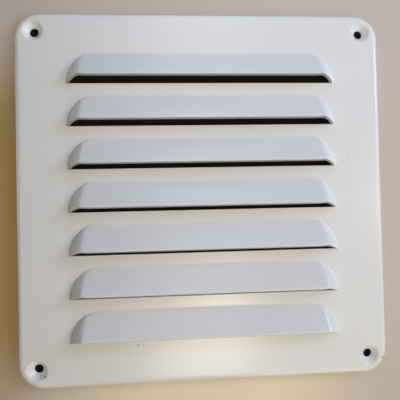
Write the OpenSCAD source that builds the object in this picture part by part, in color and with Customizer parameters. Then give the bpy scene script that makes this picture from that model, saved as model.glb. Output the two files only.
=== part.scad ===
// Square louvred ventilation grille, pressed from one sheet of aluminium and enamelled white.
// X runs to the right, Z up, and the front faces -Y. The wall is the plane Y = 0.

/* [Plate] */
// Width and height of the plate
plate_size = 150; // [144:1:180]
// Radius of the plate's corners, seen from the front
corner_radius = 10; // [9:0.5:14]
// Thickness of the sheet
sheet = 1.1; // [0.8:0.1:1.2]
// Distance from the wall to the front face, made by the turned edge
edge_depth = 3; // [2.8:0.1:4]
// Outer radius of the bend along the turned edge
edge_radius = 2; // [1.5:0.1:2.4]

/* [Louvres] */
// Number of louvres
louvre_count = 7; // [3:1:7]
// Distance from one louvre to the next
louvre_pitch = 17.3; // [15:0.1:17.6]
// Length of a louvre, over its closed ends
louvre_length = 110; // [90:1:112]
// Height of the strip that each louvre is pressed from, from the cut up to the bend
strip_height = 12.2; // [11:0.1:12.4]
// How much higher the louvres sit than the middle of the plate
field_rise = 0.4; // [0:0.1:1]
// How far a louvre stands out of the face
louvre_depth = 6.2; // [5.6:0.1:6.6]
// How far the lip's inner edge has drawn up from the line of the cut
lip_rise = 1.3; // [1.1:0.1:1.6]
// How much higher the lip's outer edge lies than its inner edge
lip_slant = 0.6; // [0.3:0.1:0.6]
// Height of the rounded nose, from the lip's inner edge up to the blade
lip_band = 1.1; // [1.1:0.05:1.4]
// Radius of the rounded ends, seen from the front
end_radius = 13.1; // [12.8:0.1:14]
// Slope of a closed end where it leaves the face
end_foot_slope = 66; // [65:1:70]
// Radius of the arc that a closed end follows up to the blade, seen in section
end_bulge = 12; // [12:0.5:16]
// Radius of the bend above each louvre
top_bend = 2.5; // [1.5:0.1:3]
// Radius of the bend along the lip, on its outside
lip_bend = 1.5; // [1.2:0.1:1.5]

/* [Screw holes] */
// Distance between the holes, both ways
hole_spacing = 135; // [134:0.5:136]
// Diameter of the holes
hole_d = 3.5; // [3:0.1:3.8]
// Diameter of the pressed recess round each hole, at the face
recess_d = 7.8; // [7.4:0.1:8]

/* [Hidden] */
$fa = 3;
$fs = 0.3;

// Everything here is drawn as the grille lies on its back: X right, Y up the plate, Z out of the wall.
face = edge_depth;
back = face - sheet;

// Slope of a louvre's blade, from the face
band_top = lip_rise + lip_band;
blade_slope = atan2(louvre_depth, strip_height - band_top);

// The lowest cut, from the middle of the plate
first_cut = field_rise - ((louvre_count - 1) * louvre_pitch + strip_height) / 2;
end_centre = louvre_length / 2 - end_radius;

// A recess slopes at 45 degrees from its rim down to the edge of the hole.
recess_r = recess_d / 2;
hole_r = hole_d / 2;
recess_back_r = recess_r + sheet * sqrt(2) - face;

// Points of an arc of radius r round c, from angle a to angle b
function arc(c, r, a, b, steps) = [
    for (i = [0:steps])
        let (t = a + (b - a) * i / steps)
        [c[0] + r * cos(t), c[1] + r * sin(t)]
];

// Section of a slab of depth d out to distance r, with its front edge rounded
module rim_section(r, d, bend) {
    square([r - bend, d]);
    square([r, d - bend]);
    translate([r - bend, d - bend])
        intersection() {
            circle(r = bend);
            square(bend);
        }
}

// Slab of width w with corners of radius r and a rounded front edge
module rounded_slab(w, r, d, bend) {
    inner = w - 2 * r;
    translate([-inner / 2, -inner / 2, 0])
        cube([inner, inner, d]);
    for (turn = [0:90:270])
        rotate([0, 0, turn])
            translate([inner / 2, inner / 2, 0]) {
                rotate_extrude(angle = 90)
                    rim_section(r, d, bend);
                rotate([90, 0, 0])
                    linear_extrude(height = inner)
                        rim_section(r, d, bend);
            }
}

// The sheet, with its four sides turned back to the wall
module tray() {
    difference() {
        rounded_slab(plate_size, corner_radius, face, edge_radius);
        translate([0, 0, -1])
            rounded_slab(plate_size - 2 * sheet, corner_radius - sheet, back + 1, edge_radius - sheet);
    }
}

// Section of a louvre, Y up from its cut and Z out from the face, drawn inside its outer surface by gap
// and carried back past the face by foot. The outer one stops at the line of the lip.
module blade_section(gap, foot) {
    lip_centre = [band_top - lip_bend * tan(blade_slope / 2), louvre_depth - lip_bend];
    top_centre = [strip_height + top_bend * tan(blade_slope / 2), top_bend];
    lip_inner = [lip_rise, louvre_depth - sheet];
    lip_outer = [lip_rise + lip_slant, louvre_depth];
    lip = gap > 0 ? [[0, louvre_depth - gap]] : [[0, 0], lip_inner, lip_outer];
    polygon(concat(
        [[0, -foot]],
        lip,
        arc(lip_centre, lip_bend - gap, 90, 90 - blade_slope, 4),
        arc(top_centre, top_bend + gap, 270 - blade_slope, 270, 6),
        [[top_centre[0], -foot]]
    ));
}

// Section of a closed end, from its axis out: an arc from the foot to a little above the lip, drawn inside
// its outer surface by gap and carried down to base
module end_section(gap, base) {
    centre = [end_radius - end_bulge * sin(end_foot_slope), -end_bulge * cos(end_foot_slope)];
    r = end_bulge - gap;
    foot_angle = asin(((gap > 0 ? -sheet : 0) - centre[1]) / r);
    top_angle = asin((louvre_depth + 0.3 - gap - centre[1]) / r);
    curve = arc(centre, r, foot_angle, top_angle, 4);
    polygon(concat([[0, base], [curve[0][0], base]], curve, [[0, curve[4][1]]]));
}

// The two round ends and the block between them
module end_limits(gap, base) {
    for (side = [-1, 1])
        translate([side * end_centre, 0, 0])
            rotate_extrude()
                end_section(gap, base);
    translate([-end_centre, -1, base])
        cube([2 * end_centre, strip_height + 3, louvre_depth + 1 - base]);
}

module louvre_form(gap, base) {
    intersection() {
        rotate([90, 0, 90])
            linear_extrude(height = louvre_length + 10, center = true)
                blade_section(gap, -base);
        end_limits(gap, base);
    }
}

module louvre_outside() {
    louvre_form(0, -sheet / 2);
}

module louvre_inside() {
    louvre_form(sheet, -sheet - 0.5);
}

module at_each_louvre() {
    for (i = [0:louvre_count - 1])
        translate([0, first_cut + i * louvre_pitch, face])
            children();
}

module at_each_hole() {
    for (x = [-1, 1])
        for (y = [-1, 1])
            translate([x * hole_spacing / 2, y * hole_spacing / 2, 0])
                children();
}

// Back of a recess, which reaches the wall
module recess_outside() {
    cylinder(h = face - sheet / 2, r1 = recess_back_r, r2 = recess_back_r + face - sheet / 2);
}

// Front of a recess, with the screw hole through it
module recess_inside() {
    drop = recess_r - hole_r + 1;
    translate([0, 0, face + 1 - drop])
        cylinder(h = drop, r1 = hole_r, r2 = recess_r + 1);
    translate([0, 0, -1])
        cylinder(h = face + 1, r = hole_r);
}

module grille_plate() {
    color("whitesmoke")
        rotate([90, 0, 0])
            difference() {
                union() {
                    tray();
                    at_each_louvre() louvre_outside();
                    at_each_hole() recess_outside();
                }
                at_each_louvre() louvre_inside();
                at_each_hole() recess_inside();
            }
}

grille_plate();
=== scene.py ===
import math

import bmesh
import bpy
import numpy as np
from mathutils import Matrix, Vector


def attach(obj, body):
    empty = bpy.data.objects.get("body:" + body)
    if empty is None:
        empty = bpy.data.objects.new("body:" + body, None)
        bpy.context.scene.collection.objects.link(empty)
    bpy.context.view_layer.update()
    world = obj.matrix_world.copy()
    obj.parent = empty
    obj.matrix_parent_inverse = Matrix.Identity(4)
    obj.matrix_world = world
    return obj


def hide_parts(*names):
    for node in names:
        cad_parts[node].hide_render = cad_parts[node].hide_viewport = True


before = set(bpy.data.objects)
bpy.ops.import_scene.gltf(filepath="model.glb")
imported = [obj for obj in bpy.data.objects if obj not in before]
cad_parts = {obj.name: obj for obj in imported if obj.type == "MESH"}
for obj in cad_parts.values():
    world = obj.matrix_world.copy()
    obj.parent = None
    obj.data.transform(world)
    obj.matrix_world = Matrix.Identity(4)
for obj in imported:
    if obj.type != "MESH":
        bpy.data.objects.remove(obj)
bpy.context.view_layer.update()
print("frame loaded:", ", ".join(sorted(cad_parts)))

mm = 0.001

# Camera, set where the photograph was taken from

view = {
    "place": (-0.01299, -0.16547, -0.00477),
    "turn": (91.09, 1.30, -3.885),
    "lens": 36.0,
    "sensor": 36.0,
}


def addCamera():
    data = bpy.data.cameras.new("photoCamera")
    data.lens = view["lens"]
    data.sensor_width = view["sensor"]
    data.clip_start = 0.01
    data.clip_end = 20.0
    camera = bpy.data.objects.new("photoCamera", data)
    camera.location = view["place"]
    camera.rotation_euler = [math.radians(a) for a in view["turn"]]
    bpy.context.scene.collection.objects.link(camera)
    bpy.context.scene.camera = camera
    bpy.context.scene.view_settings.view_transform = "Standard"


addCamera()
print("camera placed")

# The pressed sheet, in millimetres. X runs to the right, Z up, and out is the distance from the wall.

sheet = {
    "size": 150.0,
    "cornerRadius": 10.0,
    "thickness": 1.1,
    "face": 3.0,  # from the wall to the front
    "rimBend": 2.0,
    "holeSpacing": 135.0,
    "holeRadius": 1.88,
    "recessRadius": 3.9,
    "recessRing": 4.4,  # the last full circle round a recess
}

louvre = {
    "count": 7,
    "pitch": 17.3,
    "rise": 0.4,  # how much higher the louvres sit than the middle of the plate
    "strip": 12.2,  # from the cut up to the bend
    "depth": 6.2,
    "lipRise": 1.45,  # how far the inner edge of the lip has drawn up
    "lipSlant": 0.5,
    "endPull": 0.17,  # how much further it has drawn up near a closed end, as a share
    "pullAt": 50.0,  # distance of that place from the middle
    "pullReach": 2.5,
    "noseBand": 0.95,
    "endRadius": 12.6,  # of the foot of a closed end, seen from the front
    "endCentre": 42.1,
    "endBulge": 12.0,  # of the arc of a closed end, seen in section
    "endFootSlope": 66.0,
    "endReach": 5.9,  # from the foot to the ridge between the end and the blade, along the cut
    "ridgeDrift": 0.07,  # how much nearer to the middle the ridge lies for each millimetre up
    "shortestEnd": 0.8,  # the least way from the foot to the ridge
    "pastRidge": 0.42,  # slope that an end goes on with beyond its ridge
    "easeAt": 46.0,  # distance from the middle from which the wide softness of the foot sets in
    "easeReach": 3.0,
}

# widths of the rounded corners, as heights, on the front and on the back of the sheet
soft = {
    "nose": (0.33, 0.13),
    "ridge": (0.3, 0.15),
    "bend": (0.46, 0.66),
    "foot": (0.2, 1.1),
    "recess": (0.5, 0.08),
}

weldDistance = 0.0015
creaseAngle = 38

bladeTan = louvre["depth"] / (louvre["strip"] - louvre["lipRise"] - louvre["noseBand"])
footTan = math.tan(math.radians(louvre["endFootSlope"]))
bulgeIn = louvre["endBulge"] * math.sin(math.radians(louvre["endFootSlope"]))
bulgeDown = louvre["endBulge"] * math.cos(math.radians(louvre["endFootSlope"]))
endTop = math.sqrt(louvre["endBulge"] ** 2 - (bulgeIn - louvre["endReach"]) ** 2) - bulgeDown
firstCut = louvre["rise"] - ((louvre["count"] - 1) * louvre["pitch"] + louvre["strip"]) / 2
fieldHalf = 60.0
edgeHalf = sheet["size"] / 2 - sheet["rimBend"]


def softMin(a, b, width):
    # the lesser of two heights, with the corner between them rounded by a parabola of this width
    return np.minimum(a, b) - np.maximum(width - np.abs(a - b), 0) ** 2 / (4 * width)


def footAt(up):
    # the foot of a closed end is part of a circle
    return louvre["endCentre"] + np.sqrt(np.maximum(louvre["endRadius"] ** 2 - up**2, 0))


def ridgeAt(up):
    cutEnd = louvre["endCentre"] + louvre["endRadius"] - louvre["endReach"]
    return np.minimum(cutEnd - louvre["ridgeDrift"] * up, footAt(up) - louvre["shortestEnd"])


def endHeight(x, up, crest, gap):
    # An arc in section, which starts steeply at the foot. It spans the way from the foot to the ridge, and
    # is as high as the blade there, so it gets smaller up the louvre like a cone.
    foot = footAt(up)
    run = foot - ridgeAt(up)
    inward = foot - np.abs(x)
    rest = bulgeIn - louvre["endReach"] * np.clip(inward / run, 0, 1)
    level = np.sqrt(louvre["endBulge"] ** 2 - rest**2)
    scale = crest / endTop
    beyond = footTan * np.minimum(inward, 0) + louvre["pastRidge"] * np.maximum(inward - run, 0)
    height = scale * (level - bulgeDown) + beyond
    if gap == 0:
        return height
    # the back lies a gap further in, which is an arc of less radius where the end is high
    steep = np.where(inward < 0, footTan, rest / level * scale * louvre["endReach"] / run)
    slant = np.hypot(1, np.minimum(up / (foot - louvre["endCentre"] + 1), 2))
    radius = louvre["endBulge"] - np.minimum(gap * slant / scale, louvre["endBulge"])
    inner = scale * (np.sqrt(np.maximum(radius**2 - rest**2, 0)) - bulgeDown) + beyond
    return np.minimum(inner, height - gap * np.hypot(1, steep * slant))


def louvreHeight(x, up, gap):
    # a blade that falls in a straight line to its bend, cut off by a rounded nose at the lip and by an arc
    # at each end, and eased into the plate all round; the back of the sheet is the same form, a gap
    # further in
    side = 1 if gap else 0
    rise = (louvre["strip"] - up) * bladeTan
    crest = softMin(np.maximum(rise, 0.02), louvre["depth"], soft["nose"][0])
    end = endHeight(x, up, crest, gap)
    nosed = softMin(rise - gap * math.hypot(1, bladeTan), louvre["depth"] - gap, soft["nose"][side])
    body = softMin(nosed, end, soft["ridge"][side])
    atEnd = np.clip((np.abs(x) - louvre["easeAt"]) / louvre["easeReach"], 0, 1)
    atEnd = atEnd * np.sqrt(np.clip(1 - up / louvre["strip"], 0, 1))
    bend, foot = soft["bend"][side], soft["foot"][side]
    return -softMin(-body, gap, bend + (foot - bend) * atEnd)


def recessHeight(x, z, gap):
    # a cone of 45 degrees that sinks from its rim towards the screw hole
    reach = np.hypot(np.abs(x) - sheet["holeSpacing"] / 2, np.abs(z) - sheet["holeSpacing"] / 2)
    cone = reach - sheet["recessRadius"] - gap * math.sqrt(2)
    return softMin(cone, -gap, soft["recess"][1 if gap else 0])


def flat(x, z, gap):
    return np.zeros_like(x * z) - gap


def bothSides(shape, x, z, base):
    # the front of the sheet is a height over the plane, and so is its back
    front = np.stack([x, shape(x, z, 0) + sheet["face"], z + base], -1)
    back = np.stack([x, shape(x, z, sheet["thickness"]) + sheet["face"], z + base], -1)
    return front, back


def lipLine(out):
    # how far above the cut the torn edge lies, where it stands this far out of the plate
    inner = louvre["depth"] - sheet["thickness"]
    rise = louvre["lipRise"]
    return np.interp(out, [0, inner, louvre["depth"]], [0, rise, rise + louvre["lipSlant"]])


# Rows of one louvre, from its cut up, and columns from the middle out. Column 1 follows the ridge between
# the blade and the round end, column 2 the foot of that end, and column 3 the side of the louvre field.
rowUp = np.array(
    [0, 0.25, 0.5, 0.8, 1.1, 1.4, 1.8, 2.2, 2.7, 3.3, 4, 4.9, 5.9, 6.9, 7.9, 8.8, 9.5, 10.1, 10.6, 11, 11.3]
    + [11.55, 11.75, 11.95, 12.15, 12.35, 12.55, 12.75, 12.95, 13.4, 14.2, 15.6, 17.3]
)
ridgeSteps = np.array([-48, -36, -24, -14, -8, -5, -3.4, -2.4, -1.7, -1.2, -0.8, -0.5, -0.25, 0]) / 48
capSteps = np.array([0.04, 0.08, 0.13, 0.2, 0.28, 0.38, 0.48, 0.58, 0.68, 0.77, 0.84, 0.89, 0.93, 0.97, 1])
sideSteps = np.array([0.12, 0.25, 0.38, 0.5, 0.8, 1.3, 2.1, 3.3, 5]) / 5
tearSteps = 1  # columns past the foot at which the cut ends
notchFloor = 0.4  # how far the bottom of the notch at its tips lies in front of the sheet's back
outward = np.concatenate([ridgeSteps + 1, capSteps + 1, sideSteps + 2])
columnAt = np.concatenate([-outward[:0:-1], outward])
warpTop = 4.0
guideGap = 1.2


def guides(up):
    # the ridge between the blade and a closed end, and the foot where the end meets the plate
    bent = up <= louvre["strip"]
    knots = np.append(up[bent], louvre["pitch"])
    foot = np.interp(up, knots, np.append(footAt(up[bent]), footAt(0)))
    ridge = np.interp(up, knots, np.append(ridgeAt(up[bent]), ridgeAt(0)))
    return np.minimum(ridge, foot - guideGap), foot


def columnsOf(up):
    # each column is a blend of its two neighbouring guide curves
    ridge, foot = guides(rowUp)
    ridge = np.interp(up, rowUp, ridge)[:, None]
    foot = np.interp(up, rowUp, foot)[:, None]
    reach = np.abs(columnAt)[None, :]
    nearRidge = np.maximum(1 - np.abs(reach - 1), 0)
    nearFoot = np.maximum(1 - np.abs(reach - 2), 0)
    nearSide = np.maximum(reach - 2, 0)
    return np.sign(columnAt)[None, :] * (nearRidge * ridge + nearFoot * foot + nearSide * fieldHalf)


def louvreSheet(base, up):
    # the rows next to the cut are pushed up along the torn edge, and the push fades out higher up
    x = columnsOf(up)
    sides = []
    fromPull = (np.abs(x[0]) - louvre["pullAt"]) / louvre["pullReach"]
    pull = 1 + louvre["endPull"] * np.exp(-(fromPull**2))
    for gap in (0, sheet["thickness"]):
        lip = np.zeros(x.shape[1])
        for turn in range(8):
            lip = pull * lipLine(louvreHeight(x[0], lip, gap))
        z = up[:, None] + lip[None, :] * np.maximum(1 - up / warpTop, 0)[:, None]
        sides.append(np.stack([x, louvreHeight(x, z, gap) + sheet["face"], z + base], -1))
    return sides


grids = []


def addGrid(points, closed=False, cut=0):
    grids.append((points, closed, cut))


def tearWall(front, back):
    # The cut face of the sheet, from its front edge to its back edge, along the length of the tear. At its
    # tips, past the foot, the tear is only a notch in the front, which ends part of the way through.
    reach = np.abs(columnAt)
    notch = np.where(reach > 1.99, notchFloor, 0)[:, None] * np.array([0, 1, 0])
    torn = reach <= 2 + sideSteps[tearSteps - 1] + 1e-6
    addGrid(np.stack([front, back + notch])[:, torn], cut=1)


def addField():
    below = np.array([-fieldHalf - firstCut, -1.4, -0.9, -0.5, -0.2, 0])
    x = np.repeat(columnsOf(np.zeros(1)), len(below), 0)
    front, back = bothSides(flat, x, np.repeat(below[:, None], x.shape[1], 1), firstCut)
    sides = [front]
    addGrid(front)
    addGrid(back)
    for number in range(louvre["count"]):
        tearWall(front[-1], back[-1])
        base = firstCut + number * louvre["pitch"]
        up = rowUp
        if number == louvre["count"] - 1:
            up = np.append(rowUp[rowUp < fieldHalf - base - 0.5], fieldHalf - base)
        front, back = louvreSheet(base, up)
        tearWall(front[0], back[0])
        addGrid(front)
        addGrid(back)
        sides.append(front[1:])
    across = np.concatenate(sides)
    return across[:, 0, 2], across[0, :, 0], across[-1, :, 0]


border = np.array([60, 61, 62, 63.2, 64.4, 65.6, 66.8, 68, 69.2, 70.4, 71.4, 72.2, 73])
straight = np.array([61.25, 62.5, 63.75, 65])


def addBorder(sideZ, lowX, highX):
    for sign in (-1, 1):
        x, z = np.meshgrid(sign * border, sideZ)
        for side in bothSides(flat, x, z, 0):
            addGrid(side)
        x, z = np.meshgrid(highX if sign > 0 else lowX, sign * border)
        for side in bothSides(flat, x, z, 0):
            addGrid(side)


def cornerRun():
    # up the side, round the corner and back along the top, as points and outward directions
    angle = np.radians(np.linspace(0, 90, 17))[1:]
    centre = sheet["size"] / 2 - sheet["cornerRadius"]
    radius = sheet["cornerRadius"] - sheet["rimBend"]
    side = np.stack([np.full(4, edgeHalf), straight, np.ones(4), np.zeros(4)], -1)
    bend = np.stack(
        [centre + radius * np.cos(angle), centre + radius * np.sin(angle), np.cos(angle), np.sin(angle)], -1
    )
    top = np.append(straight[-2::-1], fieldHalf)
    top = np.stack([top, np.full(4, edgeHalf), np.zeros(4), np.ones(4)], -1)
    return np.concatenate([[[edgeHalf, fieldHalf, 1, 0]], side, bend, top])


def addCorners():
    # rings round the screw hole: circles in the recess, and beyond it rings that change into the
    # border's outline
    outline = cornerRun()[:, :2]
    inner = np.stack([np.full(12, fieldHalf), border[11::-1]], -1)
    lower = np.stack([border[1:12], np.full(11, fieldHalf)], -1)
    outline = np.concatenate([outline, inner, lower])
    centre = sheet["holeSpacing"] / 2
    away = outline - centre
    ray = away / np.linalg.norm(away, axis=1)[:, None]
    hole = sheet["holeRadius"]
    seat = sheet["recessRadius"] + sheet["thickness"] * math.sqrt(2) - sheet["face"]
    share = np.array([0, 0.07, 0.19, 0.35, 0.51, 0.61, 0.68, 0.74, 0.79, 0.84, 0.91, 1])
    blend = np.array([0.3, 0.65, 1])[:, None, None]
    sides = []
    for start, gap in ((hole, 0), (seat, sheet["thickness"])):
        rings = centre + (start + share * (sheet["recessRing"] - start))[:, None, None] * ray[None]
        rings = np.concatenate([rings, (1 - blend) * rings[-1] + blend * outline])
        x, z = rings[..., 0], rings[..., 1]
        sides.append(np.stack([x, recessHeight(x, z, gap) + sheet["face"], z], -1))
    wallRing = sides[0][0] * np.array([1, 0, 1])
    sides[1][0, :, 1] = 0
    sides.append(np.stack([sides[0][0], wallRing, sides[1][0]]))
    for signX in (-1, 1):
        for signZ in (-1, 1):
            for side in sides:
                addGrid(side * np.array([signX, 1, signZ]), True)


def addRim(sideZ, lowX, highX):
    # the turned edge: its section is carried round the outline, from the front face to the wall and back
    # up inside
    def run(x, z, across, along):
        n = max(np.size(x), np.size(z))
        return np.stack([np.broadcast_to(v, n) for v in (x, z, across, along)], -1)

    corner = cornerRun()
    mirrorX = np.array([-1, 1, -1, 1])
    mirrorZ = np.array([1, -1, 1, -1])
    path = np.concatenate(
        [
            run(edgeHalf, sideZ, 1, 0)[:-1],
            corner,
            run(highX[::-1], edgeHalf, 0, 1)[1:-1],
            (corner * mirrorX)[::-1],
            run(-edgeHalf, sideZ[::-1], -1, 0)[1:-1],
            corner * mirrorX * mirrorZ,
            run(lowX, -edgeHalf, 0, -1)[1:-1],
            (corner * mirrorZ)[::-1][:-1],
        ]
    )
    bend = sheet["rimBend"]
    inner = bend - sheet["thickness"]
    angle = np.radians(np.linspace(0, 90, 8))
    face = sheet["face"]
    section = np.concatenate(
        [
            np.stack([bend * np.sin(angle), face - bend + bend * np.cos(angle)], -1),
            [[bend, 0.5], [bend, 0.2], [bend - 0.06, 0.06], [bend - 0.2, 0]],
            [[inner + 0.2, 0], [inner + 0.06, 0.06], [inner, 0.2], [inner, 0.5]],
            np.stack([inner * np.sin(angle), face - bend + inner * np.cos(angle)], -1)[::-1],
        ]
    )
    push = section[:, 0][:, None]
    x = path[:, 0] + push * path[:, 2]
    z = path[:, 1] + push * path[:, 3]
    out = np.repeat(section[:, 1][:, None], len(path), 1)
    addGrid(np.stack([x, out, z], -1), True)


def quadsOf(rows, columns, start, closed):
    # corner numbers of the quads of a grid, whose last column joins the first where it is closed
    across = columns if closed else columns - 1
    row, column = np.meshgrid(np.arange(rows - 1), np.arange(across), indexing="ij")
    after = (column + 1) % columns
    near, far = row * columns, (row + 1) * columns
    return start + np.stack([near + column, near + after, far + after, far + column], -1).reshape(-1, 4)


def buildGrille():
    sideZ, lowX, highX = addField()
    addBorder(sideZ, lowX, highX)
    addCorners()
    addRim(sideZ, lowX, highX)
    points, quads, bare, start = [], [], [], 0
    for grid, closed, cut in grids:
        rows, columns = grid.shape[:2]
        points.append(grid.reshape(-1, 3))
        quads.append(quadsOf(rows, columns, start, closed))
        bare.append(np.full(len(quads[-1]), float(cut)))
        start += rows * columns
    points = np.concatenate(points) * mm
    points = points * np.array([1, -1, 1])
    mesh = bpy.data.meshes.new("pressed_grille")
    mesh.from_pydata(points.tolist(), [], np.concatenate(quads).tolist())
    mesh.attributes.new("cut", "FLOAT", "FACE").data.foreach_set("value", np.concatenate(bare))
    shell = bmesh.new()
    shell.from_mesh(mesh)
    bmesh.ops.remove_doubles(shell, verts=shell.verts, dist=weldDistance * mm)
    bmesh.ops.recalc_face_normals(shell, faces=shell.faces)
    openEdges = sum(1 for e in shell.edges if len(e.link_faces) != 2)
    print("edges without two faces:", openEdges)
    shell.to_mesh(mesh)
    shell.free()
    mesh.shade_smooth()
    mesh.set_sharp_from_angle(angle=math.radians(creaseAngle))
    piece = bpy.data.objects.new("pressed_grille", mesh)
    bpy.context.scene.collection.objects.link(piece)
    return piece


grille = buildGrille()
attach(grille, "root")
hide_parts("grille_plate")
print("grille pressed:", len(grille.data.polygons), "faces")


# Node helpers

def newMaterial(name):
    material = bpy.data.materials.new(name)
    material.use_nodes = True
    tree = material.node_tree
    tree.nodes.clear()
    return material, tree


def put(tree, kind, inputs=None, **settings):
    node = tree.nodes.new(kind)
    for name, value in settings.items():
        setattr(node, name, value)
    for name, value in (inputs or {}).items():
        socket = node.inputs[name]
        if isinstance(value, bpy.types.NodeSocket):
            tree.links.new(value, socket)
        else:
            socket.default_value = value
    return node


def mixedColour(tree, factor, first, second):
    node = put(tree, "ShaderNodeMix", {"Factor": factor}, data_type="RGBA")
    for socket, value in ((node.inputs["A"], first), (node.inputs["B"], second)):
        if isinstance(value, bpy.types.NodeSocket):
            tree.links.new(value, socket)
        else:
            socket.default_value = value
    return node.outputs["Result"]


def fade(tree, value, start, end, before, after):
    # changes smoothly from one number before the start to another after the end
    limits = {"Value": value, "From Min": start, "From Max": end, "To Min": before, "To Max": after}
    return put(tree, "ShaderNodeMapRange", limits, interpolation_type="SMOOTHSTEP").outputs["Result"]


def product(tree, first, second):
    return put(tree, "ShaderNodeMath", {0: first, 1: second}, operation="MULTIPLY").outputs[0]


enamel = {
    "colour": (0.80, 0.80, 0.79, 1),
    "shade": (0.77, 0.77, 0.76, 1),
    "cut": (0.33, 0.33, 0.34, 1),  # the cut faces, painted dark grey: partly thin enamel at the cut, partly painted shade of these downward faces
    "roughness": (0.24, 0.28),
    "peelScale": 900.0,
    "peelDepth": 0.00002,
    "waveScale": 55.0,
    "waveDepth": 0.00006,
    "dirtAndDentShade": (0.20, 0.17, 0.13, 1),
}

# small marks on the front, mostly dirt specks, and painted shade of a small dent under the lowest louvre:
# place across and up, radius, all in millimetres, and strength
marks = [
    (-69.9, 71.2, 0.6, 0.5),
    (72.9, -68.9, 0.9, 0.7),
    (-64.5, -70.0, 0.6, 0.6),
    (-64.1, -68.9, 0.4, 0.35),
    (-66.4, -69.9, 0.45, 0.5),
    (-68.4, -69.5, 0.35, 0.35),
    # these two are painted shade of a small dent under the lowest louvre
    (-28.1, -59.3, 0.7, 0.5),
    (-25.8, -59.2, 0.55, 0.4),
    (61.0, 15.6, 1.1, 0.08),
    (58.0, 13.6, 1.1, 0.09),
]


def dirtAndDentShadeMask(tree, where):
    # one soft round spot for each mark, with its outline broken up by noise
    wobble = put(tree, "ShaderNodeTexNoise", {"Vector": where, "Scale": 1500.0, "Detail": 1.0})
    level = put(tree, "ShaderNodeVectorMath", {0: where, 1: (1, 0, 1)}, operation="MULTIPLY").outputs[0]
    total = None
    for across, up, radius, strength in marks:
        middle = (across * mm, 0, up * mm)
        away = put(tree, "ShaderNodeVectorMath", {0: level, 1: middle}, operation="DISTANCE")
        spot = fade(tree, away.outputs["Value"], 0.3 * radius * mm, 1.2 * radius * mm, strength, 0.0)
        if total is None:
            total = spot
        else:
            total = put(tree, "ShaderNodeMath", {0: total, 1: spot}, operation="ADD").outputs[0]
    return product(tree, total, fade(tree, wobble.outputs["Fac"], 0.3, 0.6, 0.5, 1.2))


def enamelMaterial():
    material, tree = newMaterial("whiteEnamel")
    where = put(tree, "ShaderNodeTexCoord").outputs["Object"]
    cloud = put(tree, "ShaderNodeTexNoise", {"Vector": where, "Scale": 24.0, "Detail": 3.0})
    cut = put(tree, "ShaderNodeAttribute", attribute_name="cut")
    colour = mixedColour(tree, cloud.outputs["Fac"], enamel["colour"], enamel["shade"])
    # the cut faces get a dark grey that is partly thin enamel and partly painted shade
    colour = mixedColour(tree, cut.outputs["Fac"], colour, enamel["cut"])
    # dirt specks, and painted shade of a small dent
    colour = mixedColour(tree, dirtAndDentShadeMask(tree, where), colour, enamel["dirtAndDentShade"])
    fine = put(tree, "ShaderNodeTexNoise", {"Vector": where, "Scale": 420.0, "Detail": 2.0})
    low, high = enamel["roughness"]
    gloss = put(
        tree, "ShaderNodeMapRange", {"Value": fine.outputs["Fac"], "To Min": low, "To Max": high}
    )
    peel = put(tree, "ShaderNodeTexNoise", {"Vector": where, "Scale": enamel["peelScale"], "Detail": 1.5})
    wave = put(tree, "ShaderNodeTexNoise", {"Vector": where, "Scale": enamel["waveScale"], "Detail": 1.0})
    waved = put(
        tree,
        "ShaderNodeBump",
        {"Height": wave.outputs["Fac"], "Distance": enamel["waveDepth"], "Strength": 0.6},
    )
    peeled = put(
        tree,
        "ShaderNodeBump",
        {
            "Height": peel.outputs["Fac"],
            "Distance": enamel["peelDepth"],
            "Strength": 0.6,
            "Normal": waved.outputs["Normal"],
        },
    )
    shader = put(
        tree,
        "ShaderNodeBsdfPrincipled",
        {
            "Base Color": colour,
            "Roughness": gloss.outputs["Result"],
            "Normal": peeled.outputs["Normal"],
        },
    )
    put(tree, "ShaderNodeOutputMaterial", {"Surface": shader.outputs["BSDF"]})
    return material


grille.data.materials.append(enamelMaterial())
print("enamel ready")

# Wall behind the grille, floor and lamps

stage = {
    "wallColour": (0.59, 0.505, 0.43, 1),
    "paintedShadeLeft": (0.41, 0.28, 0.115, 1),
    "paintedLightBelow": (0.86, 0.75, 0.56, 1),
    "paintedDuctShade": (0.012, 0.011, 0.009, 1),
    "floorColour": (0.62, 0.61, 0.60, 1),
    "floorShade": (0.59, 0.58, 0.57, 1),
    "floorHeight": -0.5,
    "ductHalf": 0.0715,
    # the ochre patch of painted shade beside the plate, and the warm patch of painted light under it: where
    # each starts, is full and ends
    "leftAcross": (-0.11, -0.082, -0.078, -0.068),
    "leftTop": (0.03, 0.075),
    "leftFoot": (-0.09, -0.05),
    "leftFootShare": 0.25,
    "belowUpright": (-0.13, -0.09, -0.078, -0.068),
    "belowAcross": (0.02, 0.08),
}


def addPlane(name, corners, material):
    mesh = bpy.data.meshes.new(name)
    mesh.from_pydata(corners, [], [(0, 1, 2, 3)])
    mesh.materials.append(material)
    plane = bpy.data.objects.new(name, mesh)
    bpy.context.scene.collection.objects.link(plane)


def band(tree, value, edges):
    # nothing before the first edge, full from the second to the third, and nothing past the last
    start, full, ending, end = edges
    return product(tree, fade(tree, value, start, full, 0.0, 1.0), fade(tree, value, ending, end, 1.0, 0.0))


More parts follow.
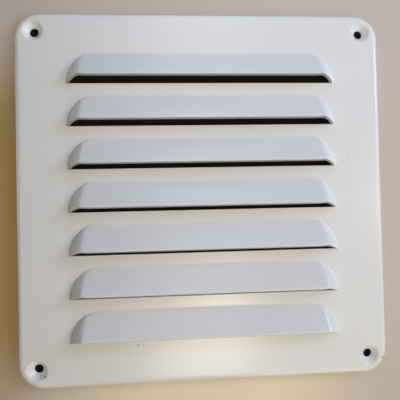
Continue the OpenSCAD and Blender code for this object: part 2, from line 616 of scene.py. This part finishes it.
def wallMaterial():
    # painted shade: nearly black where the grille covers its opening, in place of the dark duct behind it;
    # seen only from the front, so that the back stays in view
    material, tree = newMaterial("wall")
    where = put(tree, "ShaderNodeTexCoord").outputs["Object"]
    part = put(tree, "ShaderNodeSeparateXYZ", {"Vector": where})
    side, height = part.outputs["X"], part.outputs["Z"]
    across = put(tree, "ShaderNodeMath", {0: side}, operation="ABSOLUTE").outputs[0]
    upward = put(tree, "ShaderNodeMath", {0: height}, operation="ABSOLUTE").outputs[0]
    # painted shade on the wall to the left of the plate
    leftward = band(tree, side, stage["leftAcross"])
    leftward = product(tree, leftward, fade(tree, height, *stage["leftTop"], 1.0, 0.0))
    leftward = product(tree, leftward, fade(tree, height, *stage["leftFoot"], stage["leftFootShare"], 1.0))
    # painted light on the wall under the plate
    below = band(tree, height, stage["belowUpright"])
    below = product(tree, below, fade(tree, across, *stage["belowAcross"], 1.0, 0.0))
    plasterWithPaintedLight = mixedColour(tree, leftward, stage["wallColour"], stage["paintedShadeLeft"])
    plasterWithPaintedLight = mixedColour(tree, below, plasterWithPaintedLight, stage["paintedLightBelow"])
    reach = put(tree, "ShaderNodeMath", {0: across, 1: upward}, operation="MAXIMUM")
    hidden = put(tree, "ShaderNodeMath", {0: reach.outputs[0], 1: stage["ductHalf"]}, operation="LESS_THAN")
    # painted shade of the dark duct behind the grille's openings
    colour = mixedColour(tree, hidden.outputs[0], plasterWithPaintedLight, stage["paintedDuctShade"])
    paint = put(tree, "ShaderNodeBsdfPrincipled", {"Base Color": colour, "Roughness": 0.9})
    paint.inputs["Specular IOR Level"].default_value = 0.0
    clear = put(tree, "ShaderNodeBsdfTransparent")
    path = put(tree, "ShaderNodeLightPath")
    seen = put(
        tree,
        "ShaderNodeMath",
        {0: path.outputs["Is Camera Ray"], 1: path.outputs["Is Glossy Ray"]},
        operation="MAXIMUM",
    )
    facing = put(tree, "ShaderNodeNewGeometry")
    front = put(tree, "ShaderNodeMath", {0: 1.0, 1: facing.outputs["Backfacing"]}, operation="SUBTRACT")
    shown = put(tree, "ShaderNodeMath", {0: seen.outputs[0], 1: front.outputs[0]}, operation="MULTIPLY")
    mixed = put(
        tree,
        "ShaderNodeMixShader",
        {0: shown.outputs[0], 1: clear.outputs[0], 2: paint.outputs["BSDF"]},
    )
    put(tree, "ShaderNodeOutputMaterial", {"Surface": mixed.outputs[0]})
    return material


def floorMaterial():
    material, tree = newMaterial("floor")
    where = put(tree, "ShaderNodeTexCoord").outputs["Object"]
    grain = put(tree, "ShaderNodeTexNoise", {"Vector": where, "Scale": 12.0, "Detail": 4.0})
    colour = mixedColour(tree, grain.outputs["Fac"], stage["floorColour"], stage["floorShade"])
    paint = put(tree, "ShaderNodeBsdfPrincipled", {"Base Color": colour, "Roughness": 0.8})
    pale = put(tree, "ShaderNodeEmission", {"Color": colour, "Strength": 1.0})
    path = put(tree, "ShaderNodeLightPath")
    seen = product(tree, path.outputs["Is Camera Ray"], 0.75)
    shown = put(
        tree, "ShaderNodeMixShader", {0: seen, 1: paint.outputs["BSDF"], 2: pale.outputs["Emission"]}
    )
    clear = put(tree, "ShaderNodeBsdfTransparent")
    facing = put(tree, "ShaderNodeNewGeometry")
    mixed = put(
        tree,
        "ShaderNodeMixShader",
        {0: facing.outputs["Backfacing"], 1: shown.outputs[0], 2: clear.outputs[0]},
    )
    put(tree, "ShaderNodeOutputMaterial", {"Surface": mixed.outputs[0]})
    return material


def addStage():
    low = stage["floorHeight"]
    back = 0.0004
    addPlane(
        "wall", [(-2, back, low), (2, back, low), (2, back, 2), (-2, back, 2)], wallMaterial()
    )
    addPlane("floor", [(-2, -2, low), (2, -2, low), (2, 2, low), (-2, 2, low)], floorMaterial())


# Warm light comes from the front and a little below, and cool light from the right and, from three small
# lamps, from close above. The two lamps behind the wall show the back of the sheet and its left edge.
lamps = {
    "front": {
        "place": (0.027, -0.469, -0.216),
        "size": (0.16, 0.16),
        "power": 0.55,
        "colour": (1, 0.92, 0.75),
    },
    "sheen": {
        "place": (0.070, -0.480, -0.155),
        "size": (0.06, 0.14),
        "power": 0.26,
        "colour": (1, 0.92, 0.80),
    },
    "low": {
        "place": (0.177, -0.306, -0.354),
        "size": (0.20, 0.20),
        "power": 0.46,
        "colour": (1, 0.85, 0.60),
    },
    "right": {
        "place": (0.215, -0.180, 0.0),
        "size": (0.10, 0.10),
        "power": 0.11,
        "colour": (1, 0.95, 0.85),
    },
    "window": {
        "place": (0.407, -0.235, 0.171),
        "size": (0.20, 0.20),
        "power": 1.02,
        "colour": (0.54, 0.68, 1),
    },
    "above": {
        "place": (-0.005, -0.163, 0.115),
        "size": (0.12, 0.12),
        "power": 0.048,
        "colour": (0.90, 0.87, 0.94),
    },
    "upper": {
        "place": (0.020, -0.113, 0.164),
        "size": (0.12, 0.12),
        "power": 0.044,
        "colour": (0.74, 0.81, 1),
    },
    "crown": {
        "place": (0.011, -0.064, 0.242),
        "size": (0.12, 0.12),
        "power": 0.052,
        "colour": (0.74, 0.82, 1),
    },
    "behind": {
        "place": (0.25, 0.60, 0.40),
        "size": (0.40, 0.40),
        "power": 3.0,
        "colour": (0.95, 0.97, 1),
    },
    "aside": {
        "place": (-0.50, 0.20, 0.10),
        "size": (0.30, 0.30),
        "power": 1.0,
        "colour": (0.95, 0.97, 1),
    },
}
room = {"light": (0.9, 0.95, 1.0, 1), "strength": 0.03, "seen": (0.55, 0.55, 0.55, 1)}


def addLamps():
    for name, lamp in lamps.items():
        data = bpy.data.lights.new(name, "AREA")
        data.shape = "ELLIPSE"
        data.size, data.size_y = lamp["size"]
        data.energy = lamp["power"]
        data.color = lamp["colour"]
        thing = bpy.data.objects.new(name, data)
        thing.location = lamp["place"]
        thing.rotation_euler = Vector(lamp["place"]).to_track_quat("Z", "Y").to_euler()
        thing.visible_camera = False
        bpy.context.scene.collection.objects.link(thing)


def addWorld():
    # dim as a light, and pale where it is looked at
    world = bpy.data.worlds.new("room")
    world.use_nodes = True
    tree = world.node_tree
    tree.nodes.clear()
    seen = put(tree, "ShaderNodeLightPath").outputs["Is Camera Ray"]
    dim = put(tree, "ShaderNodeBackground", {"Color": room["light"], "Strength": room["strength"]})
    pale = put(tree, "ShaderNodeBackground", {"Color": room["seen"], "Strength": 1.0})
    mixed = put(tree, "ShaderNodeMixShader", {0: seen, 1: dim.outputs[0], 2: pale.outputs[0]})
    put(tree, "ShaderNodeOutputWorld", {"Surface": mixed.outputs[0]})
    bpy.context.scene.world = world


addStage()
addLamps()
addWorld()
print("stage set")
